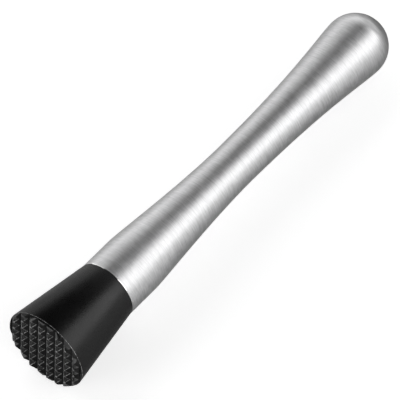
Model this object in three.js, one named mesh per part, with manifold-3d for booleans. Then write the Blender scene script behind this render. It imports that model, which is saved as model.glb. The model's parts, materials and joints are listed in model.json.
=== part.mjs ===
// A bar muddler lying on its side: a hollow brushed-steel handle, waisted in the middle and closed by a round
// knob, with a black nylon head that has a toothed face and screws off a threaded bolt.
//
// Each piece is drawn along its own Y axis. A "station" is a distance in millimetres along that axis from the
// toothed face (0) to the tip of the knob (OVERALL_LENGTH).

import * as THREE from 'three';
import { mergeVertices } from 'three/addons/utils/BufferGeometryUtils.js';
import Module from 'manifold-3d';

const wasm = await Module();
wasm.setup();

// Driving dimensions, in millimetres.
const OVERALL_LENGTH = 198.5;
const KNOB_RADIUS = 12.85;
const WAIST_STATION = 114;
const WAIST_RADIUS = 9;
const TUBE_RADIUS = 12.7;
const TUBE_STRAIGHT = 14.7;
const WALL = 0.8;
const LIP_BEVEL = 0.3;

// How far the curves of the handle's side view reach along it from the shoulder, the waist and the knob.
const SHOULDER_PULL = 5.4;
const WAIST_PULL_TO_SHOULDER = 24.4;
const WAIST_PULL_TO_KNOB = 45.6;
const KNOB_PULL = 7.3;

const HEAD_LENGTH = 37.2;
const RIM_RADIUS = 17.85;
const FACE_RADIUS = 16.9;
const NECK_RADIUS = 12.75;
const NECK_BEVEL = 0.3;
const TOOTH_PITCH = 4.2;
const TOOTH_FLAT = 0.7;
const CROSS_GROOVE_DEPTH = 1.3;

// The thread is a metric M10: the cut is 0.6134 of the pitch deep, with a flat crest and a wider flat root.
const THREAD_PITCH = 1.5;
const THREAD_RADIUS = 5;
const THREAD_TURNS = 6;
const THREAD_DEPTH = 0.6134 * THREAD_PITCH;
const ROOT_FLAT = 1 / 4;
const CREST_FLAT = 1 / 8;

// Gaps between neighbouring pieces.
const SHOULDER_GAP = 0.2;
const FIXED_GAP = 0.05;
const THREAD_GAP = 0.12;
const PLUG_GAP = 0.6;

// Pieces inside the mouth of the handle.
const SPIGOT_LENGTH = 5.2;
const SPIGOT_RADIUS = 11.6;
const SEAL_SECTION = 1.8;
const SEAL_INSET = 2.2;
const INSERT_RADIUS = 8;
const INSERT_NECK_RADIUS = 7;
const INSERT_NECK_LENGTH = 2;
const KNURL_DEPTH = 0.6;
const KNURL_TEETH = 20;
const PLUG_THICKNESS = 6;
const PLUG_BEVEL = 0.5;
const BOLT_CHAMFER = 1;
const BOLT_HEAD_HEIGHT = 6.4;
const BOLT_HEAD_FLATS = 16;
const TIP_ROOM = 2;

// How far cutting bodies run past what they cut.
const OVERRUN = 1;

// Fineness of the round surfaces.
const SIDES = 40;
const THREAD_SIDES = 24;
const CURVE_STEPS = 8;
const RING_STEPS = 10;

// Stations and radii that follow from the sizes above.
const MOUTH_STATION = HEAD_LENGTH + SHOULDER_GAP;
const KNOB_STATION = OVERALL_LENGTH - KNOB_RADIUS;
const SPIGOT_END = HEAD_LENGTH + SPIGOT_LENGTH;
const SEAL_STATION = HEAD_LENGTH + SEAL_INSET;
const INSERT_LENGTH = THREAD_TURNS * THREAD_PITCH;
const INSERT_START = SPIGOT_END - INSERT_LENGTH;
const PLUG_START = SPIGOT_END + PLUG_GAP;
const PLUG_END = PLUG_START + PLUG_THICKNESS;
const BORE_RADIUS = TUBE_RADIUS - WALL;
const SEAL_OUTER_RADIUS = BORE_RADIUS - FIXED_GAP;
const GROOVE_RADIUS = SEAL_OUTER_RADIUS - SEAL_SECTION - FIXED_GAP;
const TOOTH_DEPTH = (TOOTH_PITCH - TOOTH_FLAT) / 2;

const brushedSteel = new THREE.MeshStandardMaterial({ color: 0xbfc0c1, roughness: 0.35, metalness: 1 });
const plainSteel = new THREE.MeshStandardMaterial({ color: 0xa9abad, roughness: 0.3, metalness: 1 });
const blackNylon = new THREE.MeshStandardMaterial({ color: 0x1a1a1b, roughness: 0.55, metalness: 0 });
const brass = new THREE.MeshStandardMaterial({ color: 0xc9a24a, roughness: 0.35, metalness: 1 });
const blackRubber = new THREE.MeshStandardMaterial({ color: 0x111111, roughness: 0.8, metalness: 0 });

// Turns a closed geometry into a solid that can be joined and cut.
function solid(geometry) {
  const bare = geometry.index ? geometry.toNonIndexed() : geometry.clone();
  bare.deleteAttribute('normal');
  bare.deleteAttribute('uv');
  const merged = mergeVertices(bare, 1e-4);
  const vertProperties = new Float32Array(merged.attributes.position.array);
  const triVerts = new Uint32Array(dropSlivers(merged.index.array));
  return new wasm.Manifold(new wasm.Mesh({ numProp: 3, vertProperties, triVerts }));
}

// Leaves out triangles that have two corners in one place, as a lathe makes on its axis.
function dropSlivers(index) {
  const kept = [];
  for (let i = 0; i < index.length; i += 3) {
    const [a, b, c] = index.slice(i, i + 3);
    if (a !== b && b !== c && c !== a) kept.push(a, b, c);
  }
  return kept;
}

function geometryOf(manifold) {
  const mesh = manifold.getMesh();
  const geometry = new THREE.BufferGeometry();
  geometry.setAttribute('position', new THREE.BufferAttribute(new Float32Array(mesh.vertProperties), 3));
  geometry.setIndex(new THREE.BufferAttribute(new Uint32Array(mesh.triVerts), 1));
  return geometry;
}

// A solid of revolution about Y. The outline holds (radius, station) points, anticlockwise, from the axis
// back to the axis or round a closed loop. A flat side of the polygon faces down.
function turned(outline, sides = SIDES) {
  return solid(new THREE.LatheGeometry(outline, sides, Math.PI / sides));
}

function point(radius, station) {
  return new THREE.Vector2(radius, station);
}

// A plain cylinder between two stations.
function rod(radius, start, end, sides = SIDES) {
  return turned([point(0, start), point(radius, start), point(radius, end), point(0, end)], sides);
}

// The handle's side view from its shoulder to the tip of the knob, moved inwards by inset.
function handleOutline(inset, steps) {
  const tube = TUBE_RADIUS - inset;
  const waist = WAIST_RADIUS - inset;
  const knob = KNOB_RADIUS - inset;
  const shoulder = MOUTH_STATION + TUBE_STRAIGHT;
  const path = new THREE.Path();
  path.moveTo(tube, shoulder);
  const aboveShoulder = shoulder + SHOULDER_PULL;
  const belowWaist = WAIST_STATION - WAIST_PULL_TO_SHOULDER;
  const aboveWaist = WAIST_STATION + WAIST_PULL_TO_KNOB;
  const belowKnob = KNOB_STATION - KNOB_PULL;
  path.bezierCurveTo(tube, aboveShoulder, waist, belowWaist, waist, WAIST_STATION);
  path.bezierCurveTo(waist, aboveWaist, knob, belowKnob, knob, KNOB_STATION);
  path.absarc(0, KNOB_STATION, knob, 0, Math.PI / 2);
  return path.getPoints(steps);
}

function makeHandleShell() {
  const outside = [
    point(TUBE_RADIUS - LIP_BEVEL, MOUTH_STATION),
    point(TUBE_RADIUS, MOUTH_STATION + LIP_BEVEL),
    ...handleOutline(0, CURVE_STEPS),
  ];
  const inside = [point(BORE_RADIUS, MOUTH_STATION), ...handleOutline(WALL, CURVE_STEPS / 2)];
  return turned([...inside.reverse(), ...outside]);
}

function makeEndPlug() {
  const hole = THREAD_RADIUS + FIXED_GAP;
  const edge = BORE_RADIUS - 2 * FIXED_GAP;
  const outline = [
    point(hole, PLUG_START),
    point(edge - PLUG_BEVEL, PLUG_START),
    point(edge, PLUG_START + PLUG_BEVEL),
    point(edge, PLUG_END),
    point(hole, PLUG_END),
    point(hole, PLUG_START),
  ];
  return turned(outline);
}

// A right-hand screw thread as one closed body, longer than needed at both ends. Its rows of vertices follow
// the helix, so the row one pitch higher continues each row after a full turn.
function threadBody(growth, start, end) {
  const crest = THREAD_RADIUS + growth;
  const root = crest - THREAD_DEPTH;
  const crestStart = (1 + ROOT_FLAT - CREST_FLAT) / 2;
  const section = [[0, root], [ROOT_FLAT, root], [crestStart, crest], [crestStart + CREST_FLAT, crest]];
  const rows = section.length;
  const turns = Math.ceil((end - start) / THREAD_PITCH) + 2;
  const positions = [];
  for (let row = 0; row <= turns * rows; row += 1) {
    const [fraction, radius] = section[row % rows];
    const rise = Math.floor(row / rows) + fraction - 1;
    for (let side = 0; side < THREAD_SIDES; side += 1) {
      const turn = side / THREAD_SIDES;
      const angle = turn * 2 * Math.PI;
      const height = start + (rise + turn) * THREAD_PITCH;
      positions.push(radius * Math.sin(angle), height, radius * Math.cos(angle));
    }
  }
  return solid(helixGeometry(positions, turns * rows, rows));
}

// Joins the helical rows into a surface and closes each end with a fan of triangles to the axis.
function helixGeometry(positions, lastRow, rowsPerTurn) {
  const at = (row, side) =>
    side < THREAD_SIDES ? row * THREAD_SIDES + side : (row + rowsPerTurn) * THREAD_SIDES;
  const index = [];
  const topRow = lastRow - rowsPerTurn;
  for (let row = 0; row < topRow; row += 1) {
    for (let side = 0; side < THREAD_SIDES; side += 1) {
      const corners = [at(row, side), at(row, side + 1), at(row + 1, side + 1), at(row + 1, side)];
      index.push(corners[0], corners[1], corners[2], corners[0], corners[2], corners[3]);
    }
  }
  closeEnd(positions, index, endLoop(at, 0, rowsPerTurn).reverse());
  closeEnd(positions, index, endLoop(at, topRow, rowsPerTurn));
  const geometry = new THREE.BufferGeometry();
  geometry.setAttribute('position', new THREE.Float32BufferAttribute(positions, 3));
  geometry.setIndex(index);
  return geometry;
}

// The open edge of the helical surface: once round, then along the step back to where it began.
function endLoop(at, row, rowsPerTurn) {
  const loop = [];
  for (let side = 0; side <= THREAD_SIDES; side += 1) loop.push(at(row, side));
  for (let step = rowsPerTurn - 1; step > 0; step -= 1) loop.push(at(row + step, 0));
  return loop;
}

function closeEnd(positions, index, loop) {
  const centre = positions.length / 3;
  const height = positions[loop[0] * 3 + 1];
  positions.push(0, height, 0);
  loop.forEach((vertex, i) => index.push(centre, vertex, loop[(i + 1) % loop.length]));
}

// The bolt's thread, from its chamfered tip to the plug.
function makeBoltThread() {
  const outside = THREAD_RADIUS + OVERRUN;
  const bounds = turned([
    point(0, INSERT_START),
    point(THREAD_RADIUS - BOLT_CHAMFER, INSERT_START),
    point(outside, INSERT_START + BOLT_CHAMFER + OVERRUN),
    point(outside, PLUG_START),
    point(0, PLUG_START),
  ]);
  return threadBody(0, INSERT_START, PLUG_START).intersect(bounds);
}

// A six-sided prism about the axis.
function hexagon(acrossFlats, start, end) {
  return rod(acrossFlats / Math.sqrt(3), start, end, 6);
}

// The plain shank runs a little into the thread and the hexagon, so that the three make one body.
function makeThreadedBolt() {
  const shank = rod(THREAD_RADIUS, PLUG_START - FIXED_GAP, PLUG_END + OVERRUN, THREAD_SIDES);
  const seat = PLUG_END + 2 * FIXED_GAP;
  const head = hexagon(BOLT_HEAD_FLATS, seat, seat + BOLT_HEAD_HEIGHT);
  return makeBoltThread().add(shank).add(head);
}

// The insert's outside: two knurled bands with a smooth neck between them, grown by the given amount.
function insertBlank(growth) {
  const shape = new THREE.Shape();
  for (let i = 0; i < 2 * KNURL_TEETH; i += 1) {
    const radius = INSERT_RADIUS + growth - (i % 2) * KNURL_DEPTH;
    const angle = (i * Math.PI) / KNURL_TEETH;
    const corner = point(radius * Math.cos(angle), radius * Math.sin(angle));
    if (i === 0) shape.moveTo(corner.x, corner.y);
    else shape.lineTo(corner.x, corner.y);
  }
  shape.closePath();
  const length = INSERT_LENGTH + 2 * growth;
  const knurl = new THREE.ExtrudeGeometry(shape, { depth: length, bevelEnabled: false });
  knurl.rotateX(-Math.PI / 2);
  knurl.translate(0, INSERT_START - growth, 0);
  return solid(knurl).intersect(insertNeck(growth));
}

// A round body with a waist, which leaves the insert its neck where the two bodies meet.
function insertNeck(growth) {
  const neck = INSERT_NECK_RADIUS + growth;
  const full = INSERT_RADIUS + growth + OVERRUN;
  const middle = INSERT_START + INSERT_LENGTH / 2;
  const half = INSERT_NECK_LENGTH / 2 - growth;
  const slope = half + full - neck;
  const low = INSERT_START - growth - OVERRUN;
  const high = SPIGOT_END + growth + OVERRUN;
  return turned([
    point(0, low),
    point(full, low),
    point(full, middle - slope),
    point(neck, middle - half),
    point(neck, middle + half),
    point(full, middle + slope),
    point(full, high),
    point(0, high),
  ]);
}

function makeThreadedInsert() {
  return insertBlank(0).subtract(threadBody(THREAD_GAP, INSERT_START, SPIGOT_END));
}

// The head without its teeth: a truncated cone with a chamfered rim, and a grooved spigot on its narrow end.
function headBlank() {
  const halfGroove = SEAL_SECTION / 2 + 2 * FIXED_GAP;
  return turned([
    point(0, 0),
    point(FACE_RADIUS, 0),
    point(RIM_RADIUS, TOOTH_DEPTH),
    point(NECK_RADIUS, HEAD_LENGTH - NECK_BEVEL),
    point(NECK_RADIUS - NECK_BEVEL, HEAD_LENGTH),
    point(SPIGOT_RADIUS, HEAD_LENGTH),
    point(SPIGOT_RADIUS, SEAL_STATION - halfGroove),
    point(GROOVE_RADIUS, SEAL_STATION - halfGroove),
    point(GROOVE_RADIUS, SEAL_STATION + halfGroove),
    point(SPIGOT_RADIUS, SEAL_STATION + halfGroove),
    point(SPIGOT_RADIUS, SPIGOT_END - NECK_BEVEL),
    point(SPIGOT_RADIUS - NECK_BEVEL, SPIGOT_END),
    point(0, SPIGOT_END),
  ]);
}

// One straight V groove across the face along Z, at the given distance from the centre. Whatever its depth,
// it takes up the room between two rows of tooth tips.
function toothGroove(offset, depth) {
  const half = ((TOOTH_PITCH - TOOTH_FLAT) / 2) * (1 + OVERRUN / depth);
  const shape = new THREE.Shape();
  shape.moveTo(offset - half, -OVERRUN);
  shape.lineTo(offset + half, -OVERRUN);
  shape.lineTo(offset, depth);
  shape.closePath();
  const length = 2 * (RIM_RADIUS + OVERRUN);
  const geometry = new THREE.ExtrudeGeometry(shape, { depth: length, bevelEnabled: false });
  geometry.translate(0, 0, -length / 2);
  return geometry;
}

// Two sets of grooves at right angles leave the face covered in blunt four-sided pyramids. The upright
// grooves are square-flanked and as deep as the rim's chamfer. The level ones are shallower, so the teeth
// stand in upright rows.
function cutTeeth(head) {
  const reach = Math.floor(RIM_RADIUS / TOOTH_PITCH);
  let toothed = head;
  for (let i = -reach; i <= reach; i += 1) {
    const upright = toothGroove(i * TOOTH_PITCH, TOOTH_DEPTH);
    const level = toothGroove(i * TOOTH_PITCH, CROSS_GROOVE_DEPTH).rotateY(Math.PI / 2);
    toothed = toothed.subtract(solid(upright)).subtract(solid(level));
  }
  return toothed;
}

// The toothed head with the insert's pocket in it, and room beyond the pocket for the bolt's tip.
function makeMuddlingHead() {
  const tipRoom = rod(THREAD_RADIUS, INSERT_START - TIP_ROOM, INSERT_START + OVERRUN, THREAD_SIDES);
  return cutTeeth(headBlank()).subtract(insertBlank(FIXED_GAP)).subtract(tipRoom);
}

function makeSealRing() {
  const radius = SEAL_SECTION / 2;
  const outline = [];
  for (let i = 0; i <= RING_STEPS; i += 1) {
    const angle = ((i % RING_STEPS) * 2 * Math.PI) / RING_STEPS;
    const out = SEAL_OUTER_RADIUS - radius + radius * Math.cos(angle);
    outline.push(point(out, SEAL_STATION + radius * Math.sin(angle)));
  }
  return turned(outline);
}

function piece(name, manifold, material) {
  const mesh = new THREE.Mesh(geometryOf(manifold), material);
  mesh.name = name;
  return mesh;
}

// The muddler lies on the edge of its rim and on its knob, so its axis dips towards the thinner knob.
function layDown(group) {
  const apart = KNOB_STATION - TOOTH_DEPTH;
  const rimAngle = Math.atan2(RIM_RADIUS, apart);
  const knobAngle = Math.asin(KNOB_RADIUS / Math.hypot(RIM_RADIUS, apart));
  group.rotation.x = knobAngle - rimAngle;
  group.updateMatrixWorld(true);
  const box = new THREE.Box3().setFromObject(group, true);
  const centre = box.getCenter(new THREE.Vector3());
  group.position.set(-centre.x, -centre.y, -box.min.z);
}

const muddler = new THREE.Group();
muddler.add(
  piece('handle_shell', makeHandleShell(), brushedSteel),
  piece('end_plug', makeEndPlug(), plainSteel),
  piece('threaded_bolt', makeThreadedBolt(), plainSteel),
  piece('muddling_head', makeMuddlingHead(), blackNylon),
  piece('threaded_insert', makeThreadedInsert(), brass),
  piece('seal_ring', makeSealRing(), blackRubber),
);
layDown(muddler);

export default muddler;
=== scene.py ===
"""A bar muddler lying on a pale floor: brushed steel handle, toothed black nylon head that screws off."""

import json
import math

import bmesh
import bpy
from mathutils import Matrix, Vector


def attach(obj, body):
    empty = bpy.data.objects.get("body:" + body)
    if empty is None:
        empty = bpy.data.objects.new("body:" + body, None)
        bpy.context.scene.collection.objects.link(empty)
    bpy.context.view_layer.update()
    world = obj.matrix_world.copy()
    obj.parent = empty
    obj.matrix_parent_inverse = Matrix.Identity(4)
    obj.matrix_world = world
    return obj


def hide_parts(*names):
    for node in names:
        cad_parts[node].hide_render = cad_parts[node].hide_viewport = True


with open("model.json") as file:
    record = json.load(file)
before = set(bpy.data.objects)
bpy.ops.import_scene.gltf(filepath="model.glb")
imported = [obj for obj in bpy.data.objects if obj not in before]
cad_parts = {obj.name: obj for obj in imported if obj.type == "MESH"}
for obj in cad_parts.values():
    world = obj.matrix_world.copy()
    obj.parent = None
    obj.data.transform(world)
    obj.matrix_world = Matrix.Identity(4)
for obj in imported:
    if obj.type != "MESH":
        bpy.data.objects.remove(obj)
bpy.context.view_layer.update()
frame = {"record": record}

# Sizes in metres. A station is a distance along the muddler's axis from the toothed face to the knob's tip.
# A turn is the middle of a rounded corner, given as its distances from the corner.
MM = 0.001
OVERALL_LENGTH = 198.5 * MM
KNOB_RADIUS = 12.85 * MM
WAIST_STATION = 114 * MM
WAIST_RADIUS = 9 * MM
TUBE_RADIUS = 12.7 * MM
TUBE_STRAIGHT = 14.7 * MM
WALL = 0.8 * MM
LIP_BEVEL = 0.3 * MM
LIP_TURN_INSET = 0.4 * LIP_BEVEL
LIP_TURN_RISE = 0.2 * LIP_BEVEL
INNER_LIP_BEVEL = 0.1 * MM

# How far the curves of the handle's side view reach along it from the shoulder, the waist and the knob.
SHOULDER_PULL = 5.4 * MM
WAIST_PULL_TO_SHOULDER = 24.4 * MM
WAIST_PULL_TO_KNOB = 45.6 * MM
KNOB_PULL = 7.3 * MM

HEAD_LENGTH = 37.2 * MM
RIM_RADIUS = 17.85 * MM
FACE_RADIUS = 16.9 * MM
NECK_RADIUS = 12.75 * MM
NECK_BEVEL = 0.3 * MM
NECK_TURN = 0.3 * NECK_BEVEL
TOOTH_PITCH = 4.2 * MM
TOOTH_FLAT = 0.7 * MM
TOOTH_EDGE = 0.14 * MM
RIM_EDGE = 0.09 * MM
CROSS_GROOVE_DEPTH = 1.3 * MM

THREAD_PITCH = 1.5 * MM
THREAD_RADIUS = 5 * MM
THREAD_TURNS = 6

# A metric thread's depth, and the flats at its root and crest as parts of its pitch.
THREAD_DEPTH = 0.6134 * THREAD_PITCH
ROOT_FLAT = 1 / 4
CREST_FLAT = 1 / 8

SHOULDER_GAP = 0.2 * MM
FIXED_GAP = 0.05 * MM
THREAD_GAP = 0.12 * MM
PLUG_GAP = 0.6 * MM

SPIGOT_LENGTH = 5.2 * MM
SPIGOT_RADIUS = 11.6 * MM
SEAL_SECTION = 1.8 * MM
SEAL_INSET = 2.2 * MM
INSERT_RADIUS = 8 * MM
INSERT_NECK_RADIUS = 7 * MM
INSERT_NECK_LENGTH = 2 * MM
KNURL_DEPTH = 0.6 * MM
KNURL_TEETH = 20
PLUG_THICKNESS = 6 * MM
PLUG_BEVEL = 0.5 * MM
BOLT_CHAMFER = 1 * MM
BOLT_HEAD_HEIGHT = 6.4 * MM
BOLT_HEAD_FLATS = 16 * MM
BOLT_HEAD_CHAMFER = math.radians(30)
TIP_ROOM = 2 * MM
OVERRUN = 1 * MM

MOUTH_STATION = HEAD_LENGTH + SHOULDER_GAP
KNOB_STATION = OVERALL_LENGTH - KNOB_RADIUS
SPIGOT_END = HEAD_LENGTH + SPIGOT_LENGTH
SEAL_STATION = HEAD_LENGTH + SEAL_INSET
INSERT_LENGTH = THREAD_TURNS * THREAD_PITCH
INSERT_START = SPIGOT_END - INSERT_LENGTH
PLUG_START = SPIGOT_END + PLUG_GAP
PLUG_END = PLUG_START + PLUG_THICKNESS
BORE_RADIUS = TUBE_RADIUS - WALL
SEAL_OUTER_RADIUS = BORE_RADIUS - FIXED_GAP
GROOVE_RADIUS = SEAL_OUTER_RADIUS - SEAL_SECTION - FIXED_GAP
TOOTH_DEPTH = (TOOTH_PITCH - TOOTH_FLAT) / 2

# How finely round shapes are drawn.
SIDES = 160
THREAD_SIDES = 48
OUTSIDE_STEPS = 40
INSIDE_STEPS = 24

# Angles between two faces: above the sharp one an edge shows, with its own limit on the head; below the flat
# one they count as a single face; and above the last one the edge of a tooth is broken.
SHARP_ANGLE = math.radians(30)
SHARP_ANGLE_HEAD = math.radians(35)
FLAT_ANGLE = math.radians(0.5)
TOOTH_EDGE_ANGLE = math.radians(20)

# The second of a piece's two materials, which its lip has, or its worn edges, where the pale wear also serves
# as a painted highlight.
EDGE_MATERIAL = 1

# Camera: the photograph's viewing angle through a long lens, without tilt, aimed just below the middle.
CAMERA_AZIMUTH = math.radians(39.76)
CAMERA_ELEVATION = math.radians(56.66)
CAMERA_LENS = 1200
CAMERA_SENSOR = 36
CAMERA_DISTANCE = 5.07
AIM_STATION = 92.5 * MM
AIM_DROP = 0.58 * MM

# Light. A side panel's angle is measured round the muddler's axis from overhead towards +X, in degrees, and a
# panel's brightness times pi is its power in watts for each square metre.
KEY_PANEL = {"angle": 48, "distance": 0.9, "size": (0.76, 2.4), "forward": 0.5, "brightness": 1.95}
FILL_PANEL = {"angle": -60, "distance": 0.9, "size": (0.88, 2.4), "forward": 0.5, "brightness": 0.76}
FRONT_PANEL_PLACE = Vector((-0.36, -0.92, 0.26))
FRONT_PANEL_SIZE = 0.5
FRONT_PANEL_BRIGHTNESS = 3.4

# The studio round the muddler: how bright it is, and between which heights (Z) or directions (Y) it changes.
SKY_HORIZON = 0.85
SKY_OVERHEAD = 0.06
SKY_RISE = (0.1, 0.55)
SKY_BEYOND_KNOB = 0.5
SKY_KNOB_SIDE = (0.68, 0.88)

# The floor: its glow to the camera, and the greys that reflections see, a painted shadow that darkens towards
# the muddler, with the distances from the muddler's axis at which the first of them ends and the second
# begins.
FLOOR_REACH = 15
FLOOR_GLOW = 0.37
FLOOR_PAINTED_SHADOW_GREYS = (0.25, 0.75)
FLOOR_PAINTED_SHADOW_DISTANCES = (12 * MM, 70 * MM)


# --- The muddler's own axis --------------------------------------------------------------------------------


def joint(name):
    return next(j for j in frame["record"]["behaviour"]["joints"] if j["name"] == name)


def lying_matrix():
    """Local Z runs along the muddler from the centre of the toothed face, as the head's joint says."""
    turn = joint("head_turn")
    along = -Vector(turn["axis"]).normalized()
    across = Vector((1, 0, 0))
    axes = Matrix((across, along.cross(across), along)).transposed()
    return Matrix.Translation(Vector(turn["pos_m"])) @ axes.to_4x4()


LYING = lying_matrix()


# --- Mesh helpers ------------------------------------------------------------------------------------------


def smooth(mesh, angle=SHARP_ANGLE):
    mesh.polygons.foreach_set("use_smooth", [True] * len(mesh.polygons))
    mesh.set_sharp_from_angle(angle=angle)


def finished(name, bm):
    """Turns the faces outwards and makes an object of them that lies along the muddler's axis."""
    bmesh.ops.recalc_face_normals(bm, faces=bm.faces)
    mesh = bpy.data.meshes.new(name)
    bm.to_mesh(mesh)
    bm.free()
    smooth(mesh)
    made = bpy.data.objects.new(name, mesh)
    bpy.context.scene.collection.objects.link(made)
    made.matrix_world = LYING
    return made


def lathe(name, outline, sides=SIDES):
    """A closed solid of revolution about Z. The outline runs from the axis back to the axis, or in a loop."""
    bm = bmesh.new()
    rings = []
    for radius, station in outline:
        if radius == 0:
            rings.append([bm.verts.new((0, 0, station))])
            continue
        ring = []
        for i in range(sides):
            angle = 2 * math.pi * (i + 0.5) / sides
            ring.append(bm.verts.new((radius * math.sin(angle), radius * math.cos(angle), station)))
        rings.append(ring)
    on_axis = len(rings[0]) == 1 and len(rings[-1]) == 1
    pairs = list(zip(rings, rings[1:])) + ([] if on_axis else [(rings[-1], rings[0])])
    for low, high in pairs:
        join_rings(bm, low, high)
    return finished(name, bm)


def join_rings(bm, low, high):
    """Bridges two rings of points, either of which may be a single point on the axis."""
    sides = max(len(low), len(high))
    for i in range(sides):
        j = (i + 1) % sides
        if len(low) == 1:
            bm.faces.new((low[0], high[j], high[i]))
        elif len(high) == 1:
            bm.faces.new((low[i], low[j], high[0]))
        else:
            bm.faces.new((low[i], low[j], high[j], high[i]))


def combine(target, tool, operation, crossing=False):
    """Cuts target with tool, joins it to it, or keeps what they share, and uses the tool up.

    Crossing says that the tool's own parts run through each other.
    """
    change = target.modifiers.new("combine", "BOOLEAN")
    change.operation = operation
    change.object = tool
    change.solver = "EXACT"
    change.use_self = crossing
    bpy.context.view_layer.update()
    seen = target.evaluated_get(bpy.context.evaluated_depsgraph_get())
    mesh = bpy.data.meshes.new_from_object(seen)
    target.modifiers.clear()
    target.data = mesh
    bpy.data.objects.remove(tool)
    return target


def arc(centre_radius, centre_station, radius, start, end, steps):
    """Points of a lathe's outline along a circular arc, from one angle to another."""
    points = []
    for i in range(steps + 1):
        angle = start + (end - start) * i / steps
        points.append((centre_radius + radius * math.cos(angle), centre_station + radius * math.sin(angle)))
    return points


def bezier(start, pull_start, pull_end, end, steps):
    """Points of a lathe's outline along a cubic curve."""
    points = []
    for i in range(steps + 1):
        t = i / steps
        weights = ((1 - t) ** 3, 3 * t * (1 - t) ** 2, 3 * t * t * (1 - t), t**3)
        corners = (start, pull_start, pull_end, end)
        points.append(tuple(sum(w * c[k] for w, c in zip(weights, corners)) for k in (0, 1)))
    return points


def rod(name, radius, start, end, sides=THREAD_SIDES):
    return lathe(name, [(0, start), (radius, start), (radius, end), (0, end)], sides)


def bevel(target, width, chosen):
    """Breaks the chosen edges with a small flat in the piece's edge material."""
    bm = bmesh.new()
    bm.from_mesh(target.data)
    bmesh.ops.dissolve_limit(bm, angle_limit=FLAT_ANGLE, verts=bm.verts, edges=bm.edges)
    edges = [edge for edge in bm.edges if chosen(edge)]
    bmesh.ops.bevel(
        bm,
        geom=edges,
        offset=width,
        offset_type="OFFSET",
        segments=1,
        affect="EDGES",
        clamp_overlap=True,
        material=EDGE_MATERIAL,
    )
    bm.to_mesh(target.data)
    bm.free()


# --- Handle ------------------------------------------------------------------------------------------------


def handle_outline(inset, steps):
    """The handle's side view from its straight end to the tip of the knob, moved inwards by inset."""
    tube = TUBE_RADIUS - inset
    waist = WAIST_RADIUS - inset
    knob = KNOB_RADIUS - inset
    shoulder = MOUTH_STATION + TUBE_STRAIGHT
    taper = bezier(
        (tube, shoulder),
        (tube, shoulder + SHOULDER_PULL),
        (waist, WAIST_STATION - WAIST_PULL_TO_SHOULDER),
        (waist, WAIST_STATION),
        steps,
    )
    flare = bezier(
        (waist, WAIST_STATION),
        (waist, WAIST_STATION + WAIST_PULL_TO_KNOB),
        (knob, KNOB_STATION - KNOB_PULL),
        (knob, KNOB_STATION),
        steps,
    )
    dome = arc(0, KNOB_STATION, knob, 0, math.pi / 2, steps)
    dome[-1] = (0, OVERALL_LENGTH - inset)
    return taper + flare[1:] + dome[1:]


def make_handle():
    lip = [
        (BORE_RADIUS + INNER_LIP_BEVEL, MOUTH_STATION),
        (TUBE_RADIUS - LIP_BEVEL, MOUTH_STATION),
        (TUBE_RADIUS - LIP_TURN_INSET, MOUTH_STATION + LIP_TURN_RISE),
        (TUBE_RADIUS, MOUTH_STATION + LIP_BEVEL),
    ]
    outside = lip + handle_outline(0, OUTSIDE_STEPS)
    inside = [(BORE_RADIUS, MOUTH_STATION + INNER_LIP_BEVEL)] + handle_outline(WALL, INSIDE_STEPS)
    handle = lathe("handle_body", inside[::-1] + outside)
    paint(handle, brushed_steel(), polished_steel())
    for face in handle.data.polygons:
        if face.center.z < MOUTH_STATION + LIP_BEVEL:
            face.material_index = EDGE_MATERIAL
    return handle


def make_plug():
    hole = THREAD_RADIUS + FIXED_GAP
    edge = BORE_RADIUS - 2 * FIXED_GAP
    plug = lathe(
        "welded_plug",
        [
            (hole, PLUG_START),
            (edge - PLUG_BEVEL, PLUG_START),
            (edge, PLUG_START + PLUG_BEVEL),
            (edge, PLUG_END),
            (hole, PLUG_END),
        ],
    )
    return paint(plug, turned_steel())


# --- Threads -----------------------------------------------------------------------------------------------


def thread(name, growth, start, end):
    """A right-hand thread as one closed body, a turn longer than needed at both ends."""
    crest = THREAD_RADIUS + growth
    root = crest - THREAD_DEPTH
    crest_start = (1 + ROOT_FLAT - CREST_FLAT) / 2
    section = ((0, root), (ROOT_FLAT, root), (crest_start, crest), (crest_start + CREST_FLAT, crest))
    rows = len(section)
    turns = math.ceil((end - start) / THREAD_PITCH) + 2
    bm = bmesh.new()
    grid = []
    for row in range(turns * rows + 1):
        fraction, radius = section[row % rows]
        rise = row // rows + fraction - 1
        for side in range(THREAD_SIDES):
            turn = side / THREAD_SIDES
            angle = 2 * math.pi * turn
            height = start + (rise + turn) * THREAD_PITCH
            grid.append(bm.verts.new((radius * math.cos(angle), radius * math.sin(angle), height)))

    def at(row, side):
        return grid[(row + rows) * THREAD_SIDES] if side == THREAD_SIDES else grid[row * THREAD_SIDES + side]

    top = (turns - 1) * rows
    for row in range(top):
        for side in range(THREAD_SIDES):
            bm.faces.new((at(row, side), at(row, side + 1), at(row + 1, side + 1), at(row + 1, side)))
    for row in (0, top):
        loop = [at(row, side) for side in range(THREAD_SIDES + 1)]
        loop += [at(row + step, 0) for step in range(rows - 1, 0, -1)]
        centre = bm.verts.new((0, 0, loop[0].co.z))
        for a, b in zip(loop, loop[1:] + loop[:1]):
            bm.faces.new((centre, a, b))
    bmesh.ops.delete(bm, geom=[v for v in bm.verts if not v.link_faces], context="VERTS")
    return finished(name, bm)


def make_bolt():
    outside = THREAD_RADIUS + OVERRUN
    bounds = lathe(
        "thread_bounds",
        [
            (0, INSERT_START),
            (THREAD_RADIUS - BOLT_CHAMFER, INSERT_START),
            (outside, INSERT_START + BOLT_CHAMFER + OVERRUN),
            (outside, PLUG_START),
            (0, PLUG_START),
        ],
        THREAD_SIDES,
    )
    bolt = combine(thread("hex_bolt", 0, INSERT_START, PLUG_START), bounds, "INTERSECT")
    shank = rod("shank", THREAD_RADIUS, PLUG_START - FIXED_GAP, PLUG_END + OVERRUN)
    combine(bolt, shank, "UNION")
    seat = PLUG_END + 2 * FIXED_GAP
    combine(bolt, hexagon_head(seat), "UNION")
    smooth(bolt.data)
    return paint(bolt, turned_steel())


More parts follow.
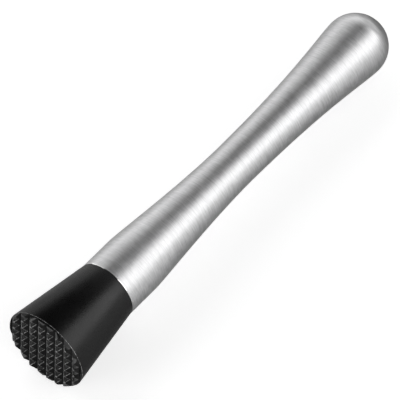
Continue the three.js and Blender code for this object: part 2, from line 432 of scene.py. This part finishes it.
def hexagon_head(seat):
    """A hexagon with its corners turned off, as on any bolt."""
    corner = BOLT_HEAD_FLATS / math.sqrt(3)
    flat = BOLT_HEAD_FLATS / 2
    end = seat + BOLT_HEAD_HEIGHT
    outside = corner + OVERRUN
    drop = (outside - flat) * math.tan(BOLT_HEAD_CHAMFER)
    head = rod("bolt_head", corner, seat, end, 6)
    low = seat - OVERRUN
    blank = lathe("head_blank", [(0, low), (outside, low), (outside, end - drop), (flat, end), (0, end)])
    return combine(head, blank, "INTERSECT")


# --- Head --------------------------------------------------------------------------------------------------


def head_blank():
    half_groove = SEAL_SECTION / 2 + 2 * FIXED_GAP
    fall_to_face = RIM_EDGE * (RIM_RADIUS - FACE_RADIUS) / TOOTH_DEPTH
    fall_to_neck = RIM_EDGE * (RIM_RADIUS - NECK_RADIUS) / HEAD_LENGTH
    return lathe(
        "toothed_head",
        [
            (0, 0),
            (FACE_RADIUS, 0),
            (RIM_RADIUS - fall_to_face, TOOTH_DEPTH - RIM_EDGE),
            (RIM_RADIUS - fall_to_neck, TOOTH_DEPTH + RIM_EDGE),
            (NECK_RADIUS, HEAD_LENGTH - NECK_BEVEL),
            (NECK_RADIUS - NECK_TURN, HEAD_LENGTH - NECK_TURN),
            (NECK_RADIUS - NECK_BEVEL, HEAD_LENGTH),
            (SPIGOT_RADIUS, HEAD_LENGTH),
            (SPIGOT_RADIUS, SEAL_STATION - half_groove),
            (GROOVE_RADIUS, SEAL_STATION - half_groove),
            (GROOVE_RADIUS, SEAL_STATION + half_groove),
            (SPIGOT_RADIUS, SEAL_STATION + half_groove),
            (SPIGOT_RADIUS, SPIGOT_END - NECK_BEVEL),
            (SPIGOT_RADIUS - NECK_BEVEL, SPIGOT_END),
            (0, SPIGOT_END),
        ],
    )


def groove_cutters():
    """V grooves right across the face, the upright ones deeper than the level ones, as one cutting tool."""
    bm = bmesh.new()
    reach = math.floor(RIM_RADIUS / TOOTH_PITCH)
    far = RIM_RADIUS + OVERRUN
    for turned in (False, True):
        depth = CROSS_GROOVE_DEPTH if turned else TOOTH_DEPTH
        wide = TOOTH_DEPTH * (1 + OVERRUN / depth)
        for i in range(-reach, reach + 1):
            middle = i * TOOTH_PITCH
            section = [(middle - wide, -OVERRUN), (middle + wide, -OVERRUN), (middle, depth)]
            ends = []
            for along in (-far, far):
                spots = [(along, x, z) if turned else (x, along, z) for x, z in section]
                ends.append([bm.verts.new(spot) for spot in spots])
            for k in range(3):
                bm.faces.new((ends[0][k], ends[0][(k + 1) % 3], ends[1][(k + 1) % 3], ends[1][k]))
            bm.faces.new(ends[0])
            bm.faces.new(ends[1])
    return finished("grooves", bm)


def is_tooth_edge(edge):
    """Whether an edge stands out from a whole tooth, which leaves out the slivers cut off by the rim."""
    reach = FACE_RADIUS - TOOTH_FLAT
    whole = all(v.co.xy.length < reach and v.co.z < TOOTH_DEPTH for v in edge.verts)
    return whole and edge.is_manifold and edge.calc_face_angle_signed() > TOOTH_EDGE_ANGLE


def make_head():
    head = combine(head_blank(), groove_cutters(), "DIFFERENCE", crossing=True)
    paint(head, black_nylon(), worn_nylon_and_painted_highlight())
    bevel(head, TOOTH_EDGE, is_tooth_edge)
    # The rim band and the tip flats take the pale edge material: on the rim a painted highlight line, on the
    # tips wear and painted highlight.
    for face in head.data.polygons:
        on_rim = face.center.xy.length > RIM_RADIUS - RIM_EDGE and abs(face.center.z - TOOTH_DEPTH) < RIM_EDGE
        on_tip = face.center.z < TOOTH_EDGE / 10
        if on_rim or on_tip:
            face.material_index = EDGE_MATERIAL
    combine(head, insert_blank("pocket", FIXED_GAP), "DIFFERENCE")
    tip_room = rod("tip_room", THREAD_RADIUS, INSERT_START - TIP_ROOM, INSERT_START + OVERRUN)
    combine(head, tip_room, "DIFFERENCE")
    smooth(head.data, SHARP_ANGLE_HEAD)
    return head


def insert_blank(name, growth):
    """The insert's outside: two knurled bands with a smooth neck between them, grown by the given amount."""
    bm = bmesh.new()
    ends = []
    for height in (INSERT_START - growth, SPIGOT_END + growth):
        ring = []
        for i in range(2 * KNURL_TEETH):
            radius = INSERT_RADIUS + growth - (i % 2) * KNURL_DEPTH
            angle = math.pi * i / KNURL_TEETH
            ring.append(bm.verts.new((radius * math.cos(angle), radius * math.sin(angle), height)))
        ends.append(ring)
    join_rings(bm, *ends)
    bm.faces.new(ends[0])
    bm.faces.new(ends[1])
    blank = finished(name, bm)
    neck = INSERT_NECK_RADIUS + growth
    full = INSERT_RADIUS + growth + OVERRUN
    middle = INSERT_START + INSERT_LENGTH / 2
    half = INSERT_NECK_LENGTH / 2 - growth
    slope = half + full - neck
    low = INSERT_START - growth - OVERRUN
    high = SPIGOT_END + growth + OVERRUN
    waist = lathe(
        "insert_neck",
        [
            (0, low),
            (full, low),
            (full, middle - slope),
            (neck, middle - half),
            (neck, middle + half),
            (full, middle + slope),
            (full, high),
            (0, high),
        ],
    )
    return combine(blank, waist, "INTERSECT")


def make_insert():
    insert = insert_blank("knurled_insert", 0)
    combine(insert, thread("insert_thread", THREAD_GAP, INSERT_START, SPIGOT_END), "DIFFERENCE")
    smooth(insert.data)
    return paint(insert, turned_brass())


def make_seal():
    radius = SEAL_SECTION / 2
    section = arc(SEAL_OUTER_RADIUS - radius, SEAL_STATION, radius, 0, 2 * math.pi, INSIDE_STEPS)
    return paint(lathe("o_ring", section[:-1]), black_rubber())


# --- Materials ---------------------------------------------------------------------------------------------


class Nodes:
    """A short way to build a material's or world's nodes: each call adds one node and links its inputs."""

    def __init__(self, owner, shader="Principled BSDF"):
        owner.use_nodes = True
        self.owner = owner
        self.tree = owner.node_tree
        self.shader = self.tree.nodes[shader]

    def add(self, kind, values=None, **settings):
        node = self.tree.nodes.new(kind)
        for key, value in settings.items():
            setattr(node, key, value)
        for key, value in (values or {}).items():
            self.put(node.inputs[key], value)
        return node

    def put(self, socket, value):
        if isinstance(value, bpy.types.NodeSocket):
            self.tree.links.new(value, socket)
        else:
            socket.default_value = value

    def math(self, operation, a, b=0.0):
        return self.add("ShaderNodeMath", {0: a, 1: b}, operation=operation).outputs[0]

    def coordinates(self, scale):
        """Object coordinates in metres, times a scale for each axis."""
        where = self.add("ShaderNodeTexCoord").outputs["Object"]
        return self.add("ShaderNodeMapping", {"Vector": where, "Scale": scale}).outputs["Vector"]

    def noise(self, scale, detail=3.0, roughness=0.6):
        vector = self.coordinates(scale)
        values = {"Vector": vector, "Scale": 1.0, "Detail": detail, "Roughness": roughness}
        return self.add("ShaderNodeTexNoise", values).outputs["Fac"]

    def span(self, value, low, high, from_low=0.0, from_high=1.0, curve="LINEAR"):
        values = {"Value": value, "From Min": from_low, "From Max": from_high, "To Min": low, "To Max": high}
        return self.add("ShaderNodeMapRange", values, interpolation_type=curve).outputs["Result"]

    def blend(self, factor, first, second):
        mix = self.add("ShaderNodeMix", {"Factor": factor}, data_type="RGBA")
        self.put(mix.inputs[6], first)
        self.put(mix.inputs[7], second)
        return mix.outputs[2]

    def bump(self, height, distance, strength=1.0):
        values = {"Height": height, "Distance": distance, "Strength": strength}
        return self.add("ShaderNodeBump", values).outputs["Normal"]

    def set(self, **values):
        """Sets the shader's sockets, named with _ for a space, and returns the finished material or world."""
        for key, value in values.items():
            self.put(self.shader.inputs[key.replace("_", " ")], value)
        return self.owner


def new_material(name):
    return Nodes(bpy.data.materials.new(name))


def grey(level, blue=0.0):
    """A grey as a colour, with a touch more blue if asked."""
    return (level, level, level + blue, 1)


def brushed_steel():
    """Stainless steel brushed round the handle: hair lines that run across its length and fade in and out."""
    n = new_material("brushed_stainless")
    hair = n.noise((160, 160, 4200), 3.0, 0.7)
    fine = n.noise((260, 260, 1900), 3.0, 0.65)
    broad = n.noise((14, 14, 420), 2.0, 0.5)
    cloud = n.noise((60, 60, 22), 2.0, 0.5)
    lines = n.math("ADD", n.math("MULTIPLY", hair, 0.55), n.math("MULTIPLY", fine, 0.45))
    tone = n.math("ADD", n.math("MULTIPLY", lines, 0.88), n.math("MULTIPLY", broad, 0.12))
    colour = n.blend(n.span(tone, 0, 1, 0.35, 0.65), grey(0.49, 0.005), grey(0.74, 0.005))
    rough = n.math("ADD", n.span(lines, 0.30, 0.40, 0.35, 0.65), n.span(cloud, -0.02, 0.02, 0.3, 0.7))
    return n.set(
        Base_Color=colour,
        Metallic=1.0,
        Roughness=rough,
        Anisotropic=0.7,
        Tangent=n.add("ShaderNodeTangent", direction_type="RADIAL", axis="Z").outputs["Tangent"],
        Normal=n.bump(lines, 0.00002, 0.6),
    )


def polished_steel():
    n = new_material("polished_lip")
    marks = n.noise((900, 900, 900), 3.0, 0.6)
    return n.set(
        Base_Color=n.blend(marks, grey(0.74), grey(0.82)),
        Metallic=1.0,
        Roughness=n.span(marks, 0.12, 0.22),
    )


def turned_steel():
    """Bright machined steel with faint tool marks round it."""
    n = new_material("turned_steel")
    marks = n.noise((120, 120, 7000), 3.0, 0.6)
    return n.set(
        Base_Color=n.blend(marks, grey(0.46, 0.01), grey(0.62, 0.01)),
        Metallic=1.0,
        Roughness=n.span(marks, 0.22, 0.4, 0.3, 0.7),
        Normal=n.bump(marks, 0.00001, 0.5),
    )


def turned_brass():
    n = new_material("turned_brass")
    marks = n.noise((150, 150, 6000), 3.0, 0.6)
    return n.set(
        Base_Color=n.blend(marks, (0.62, 0.43, 0.17, 1), (0.82, 0.62, 0.3, 1)),
        Metallic=1.0,
        Roughness=n.span(marks, 0.2, 0.38, 0.3, 0.7),
        Normal=n.bump(marks, 0.00001, 0.5),
    )


def black_nylon():
    """Satin moulded nylon: a fine even grain, a faint cloudiness and a few paler scuffs."""
    n = new_material("satin_nylon")
    grain = n.noise((3600, 3600, 3600), 2.0, 0.5)
    cloud = n.noise((140, 140, 140), 3.0, 0.6)
    scuffs = n.span(n.noise((700, 700, 160), 4.0, 0.75), 0, 1, 0.62, 0.78)
    plain = n.blend(cloud, grey(0.0004), grey(0.0009, 0.0001))
    return n.set(
        Base_Color=n.blend(n.math("MULTIPLY", scuffs, 0.5), plain, grey(0.006)),
        Roughness=n.math("ADD", n.span(grain, 0.24, 0.36, 0.3, 0.7), n.span(cloud, -0.03, 0.04, 0.3, 0.7)),
        Specular_IOR_Level=0.34,
        Normal=n.bump(grain, 0.00006, 0.6),
    )


def worn_nylon_and_painted_highlight():
    """The same nylon rubbed pale in patches on its edges, tips and rim: partly wear, partly a painted
    highlight where ridges and rim catch the light.
    """
    n = new_material("worn_nylon_and_painted_highlight_edges")
    wear = n.noise((1500, 1500, 1500), 4.0, 0.7)
    return n.set(
        # Pale patches: partly wear, partly a painted highlight on the ridges, tips and rim.
        Base_Color=n.blend(n.span(wear, 0, 1, 0.42, 0.62), grey(0.004), grey(0.42)),
        Roughness=n.span(wear, 0.25, 0.4, 0.3, 0.7),
        Specular_IOR_Level=0.5,
    )


def black_rubber():
    n = new_material("matt_rubber")
    grain = n.noise((4000, 4000, 4000), 3.0, 0.6)
    return n.set(
        Base_Color=n.blend(grain, grey(0.008), grey(0.02)),
        Roughness=n.span(grain, 0.6, 0.85, 0.3, 0.7),
        Normal=n.bump(grain, 0.00003, 0.4),
    )


def pale_floor():
    """White and lightly glowing to the camera; reflections see a grey with a painted shadow, darkening under
    the muddler.
    """
    n = new_material("pale_floor")
    tone = n.noise((3, 3, 3), 2.0, 0.5)
    seen = n.add("ShaderNodeLightPath").outputs["Is Camera Ray"]
    paper = n.blend(tone, grey(0.90), grey(0.92))
    beside = n.add("ShaderNodeSeparateXYZ", {"Vector": n.coordinates((1, 1, 1))}).outputs["X"]
    # Painted shadow: the grey that reflections see is darker near the muddler's axis and paler further out.
    reflected_painted_shadow = n.span(n.math("ABSOLUTE", beside), *FLOOR_PAINTED_SHADOW_GREYS, *FLOOR_PAINTED_SHADOW_DISTANCES)
    return n.set(
        Base_Color=n.blend(seen, n.blend(reflected_painted_shadow, grey(0), grey(1)), paper),
        Roughness=0.9,
        Specular_IOR_Level=0.0,
        Emission_Color=grey(1),
        Emission_Strength=n.math("MULTIPLY", seen, FLOOR_GLOW),
    )


def paint(target, *materials):
    target.data.materials.clear()
    for material in materials:
        target.data.materials.append(material)
    return target


# --- Stage -------------------------------------------------------------------------------------------------


def make_floor():
    r = FLOOR_REACH
    mesh = bpy.data.meshes.new("floor")
    mesh.from_pydata([(-r, -r, 0), (r, -r, 0), (r, r, 0), (-r, r, 0)], [], [(0, 1, 2, 3)])
    floor = bpy.data.objects.new("floor", mesh)
    bpy.context.scene.collection.objects.link(floor)
    paint(floor, pale_floor())


def make_panel(name, size, brightness, location, rotation):
    """A soft rectangular light that the camera doesn't see."""
    light = bpy.data.lights.new(name, "AREA")
    light.shape = "RECTANGLE"
    light.size, light.size_y = size
    light.energy = brightness * math.pi * size[0] * size[1]
    panel = bpy.data.objects.new(name, light)
    bpy.context.scene.collection.objects.link(panel)
    panel.location = location
    panel.rotation_euler = rotation
    panel.visible_camera = False
    return panel


def make_side_panel(name, angle, distance, size, forward, brightness):
    """A panel beside the muddler, long in Y and moved forward along it."""
    turn = math.radians(angle)
    location = (distance * math.sin(turn), forward, distance * math.cos(turn))
    return make_panel(name, size, brightness, location, (0, turn, 0))


def make_front_panel():
    """A panel in front of the toothed face, low and to its left."""
    size = (FRONT_PANEL_SIZE, FRONT_PANEL_SIZE)
    rotation = FRONT_PANEL_PLACE.to_track_quat("Z", "Y").to_euler()
    return make_panel("front_panel", size, FRONT_PANEL_BRIGHTNESS, FRONT_PANEL_PLACE, rotation)


def shade(panel, piece):
    """Keeps a panel's light off one piece, as a black flag would."""
    flag = bpy.data.collections.new("flag")
    flag.objects.link(piece)
    panel.light_linking.receiver_collection = flag
    flag.collection_objects[0].light_linking.link_state = "EXCLUDE"


def make_sky():
    """A studio that is darker overhead, pale all round and mid grey beyond the knob, towards +Y."""
    n = Nodes(bpy.data.worlds.new("studio"), "Background")
    direction = n.add("ShaderNodeTexCoord").outputs["Generated"]
    split = n.add("ShaderNodeSeparateXYZ", {"Vector": direction}).outputs
    around = n.span(split["Z"], SKY_HORIZON, SKY_OVERHEAD, *SKY_RISE, curve="SMOOTHSTEP")
    beyond = n.span(split["Y"], 0, SKY_BEYOND_KNOB, *SKY_KNOB_SIDE, curve="SMOOTHSTEP")
    bpy.context.scene.world = n.set(Color=grey(1), Strength=n.math("MAXIMUM", around, beyond))


def make_lights(head):
    key = make_side_panel("key_panel", **KEY_PANEL)
    key.data.use_shadow = False
    fill = make_side_panel("fill_panel", **FILL_PANEL)
    shade(fill, head)
    make_front_panel()
    make_sky()


def make_camera():
    data = bpy.data.cameras.new("camera")
    data.lens = CAMERA_LENS
    data.sensor_width = CAMERA_SENSOR
    data.clip_start = 0.1
    data.clip_end = 50
    camera = bpy.data.objects.new("camera", data)
    bpy.context.scene.collection.objects.link(camera)
    level = math.cos(CAMERA_ELEVATION)
    right = Vector((math.cos(CAMERA_AZIMUTH), math.sin(CAMERA_AZIMUTH), 0))
    back = Vector((right.y * level, -right.x * level, math.sin(CAMERA_ELEVATION)))
    up = back.cross(right)
    aim = LYING @ Vector((0, 0, AIM_STATION)) - AIM_DROP * up
    camera.matrix_world = Matrix((right, up, back)).transposed().to_4x4()
    camera.location = aim + back * CAMERA_DISTANCE
    bpy.context.scene.camera = camera


# --- Scene -------------------------------------------------------------------------------------------------


def place(piece, node, body):
    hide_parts(node)
    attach(piece, body)


make_camera()
make_floor()
bpy.context.scene.view_settings.view_transform = "Standard"

place(make_handle(), "handle_shell", "handle")
place(make_plug(), "end_plug", "handle")
place(make_bolt(), "threaded_bolt", "handle")
head = make_head()
make_lights(head)
place(head, "muddling_head", "head")
place(make_insert(), "threaded_insert", "head")
place(make_seal(), "seal_ring", "seal")
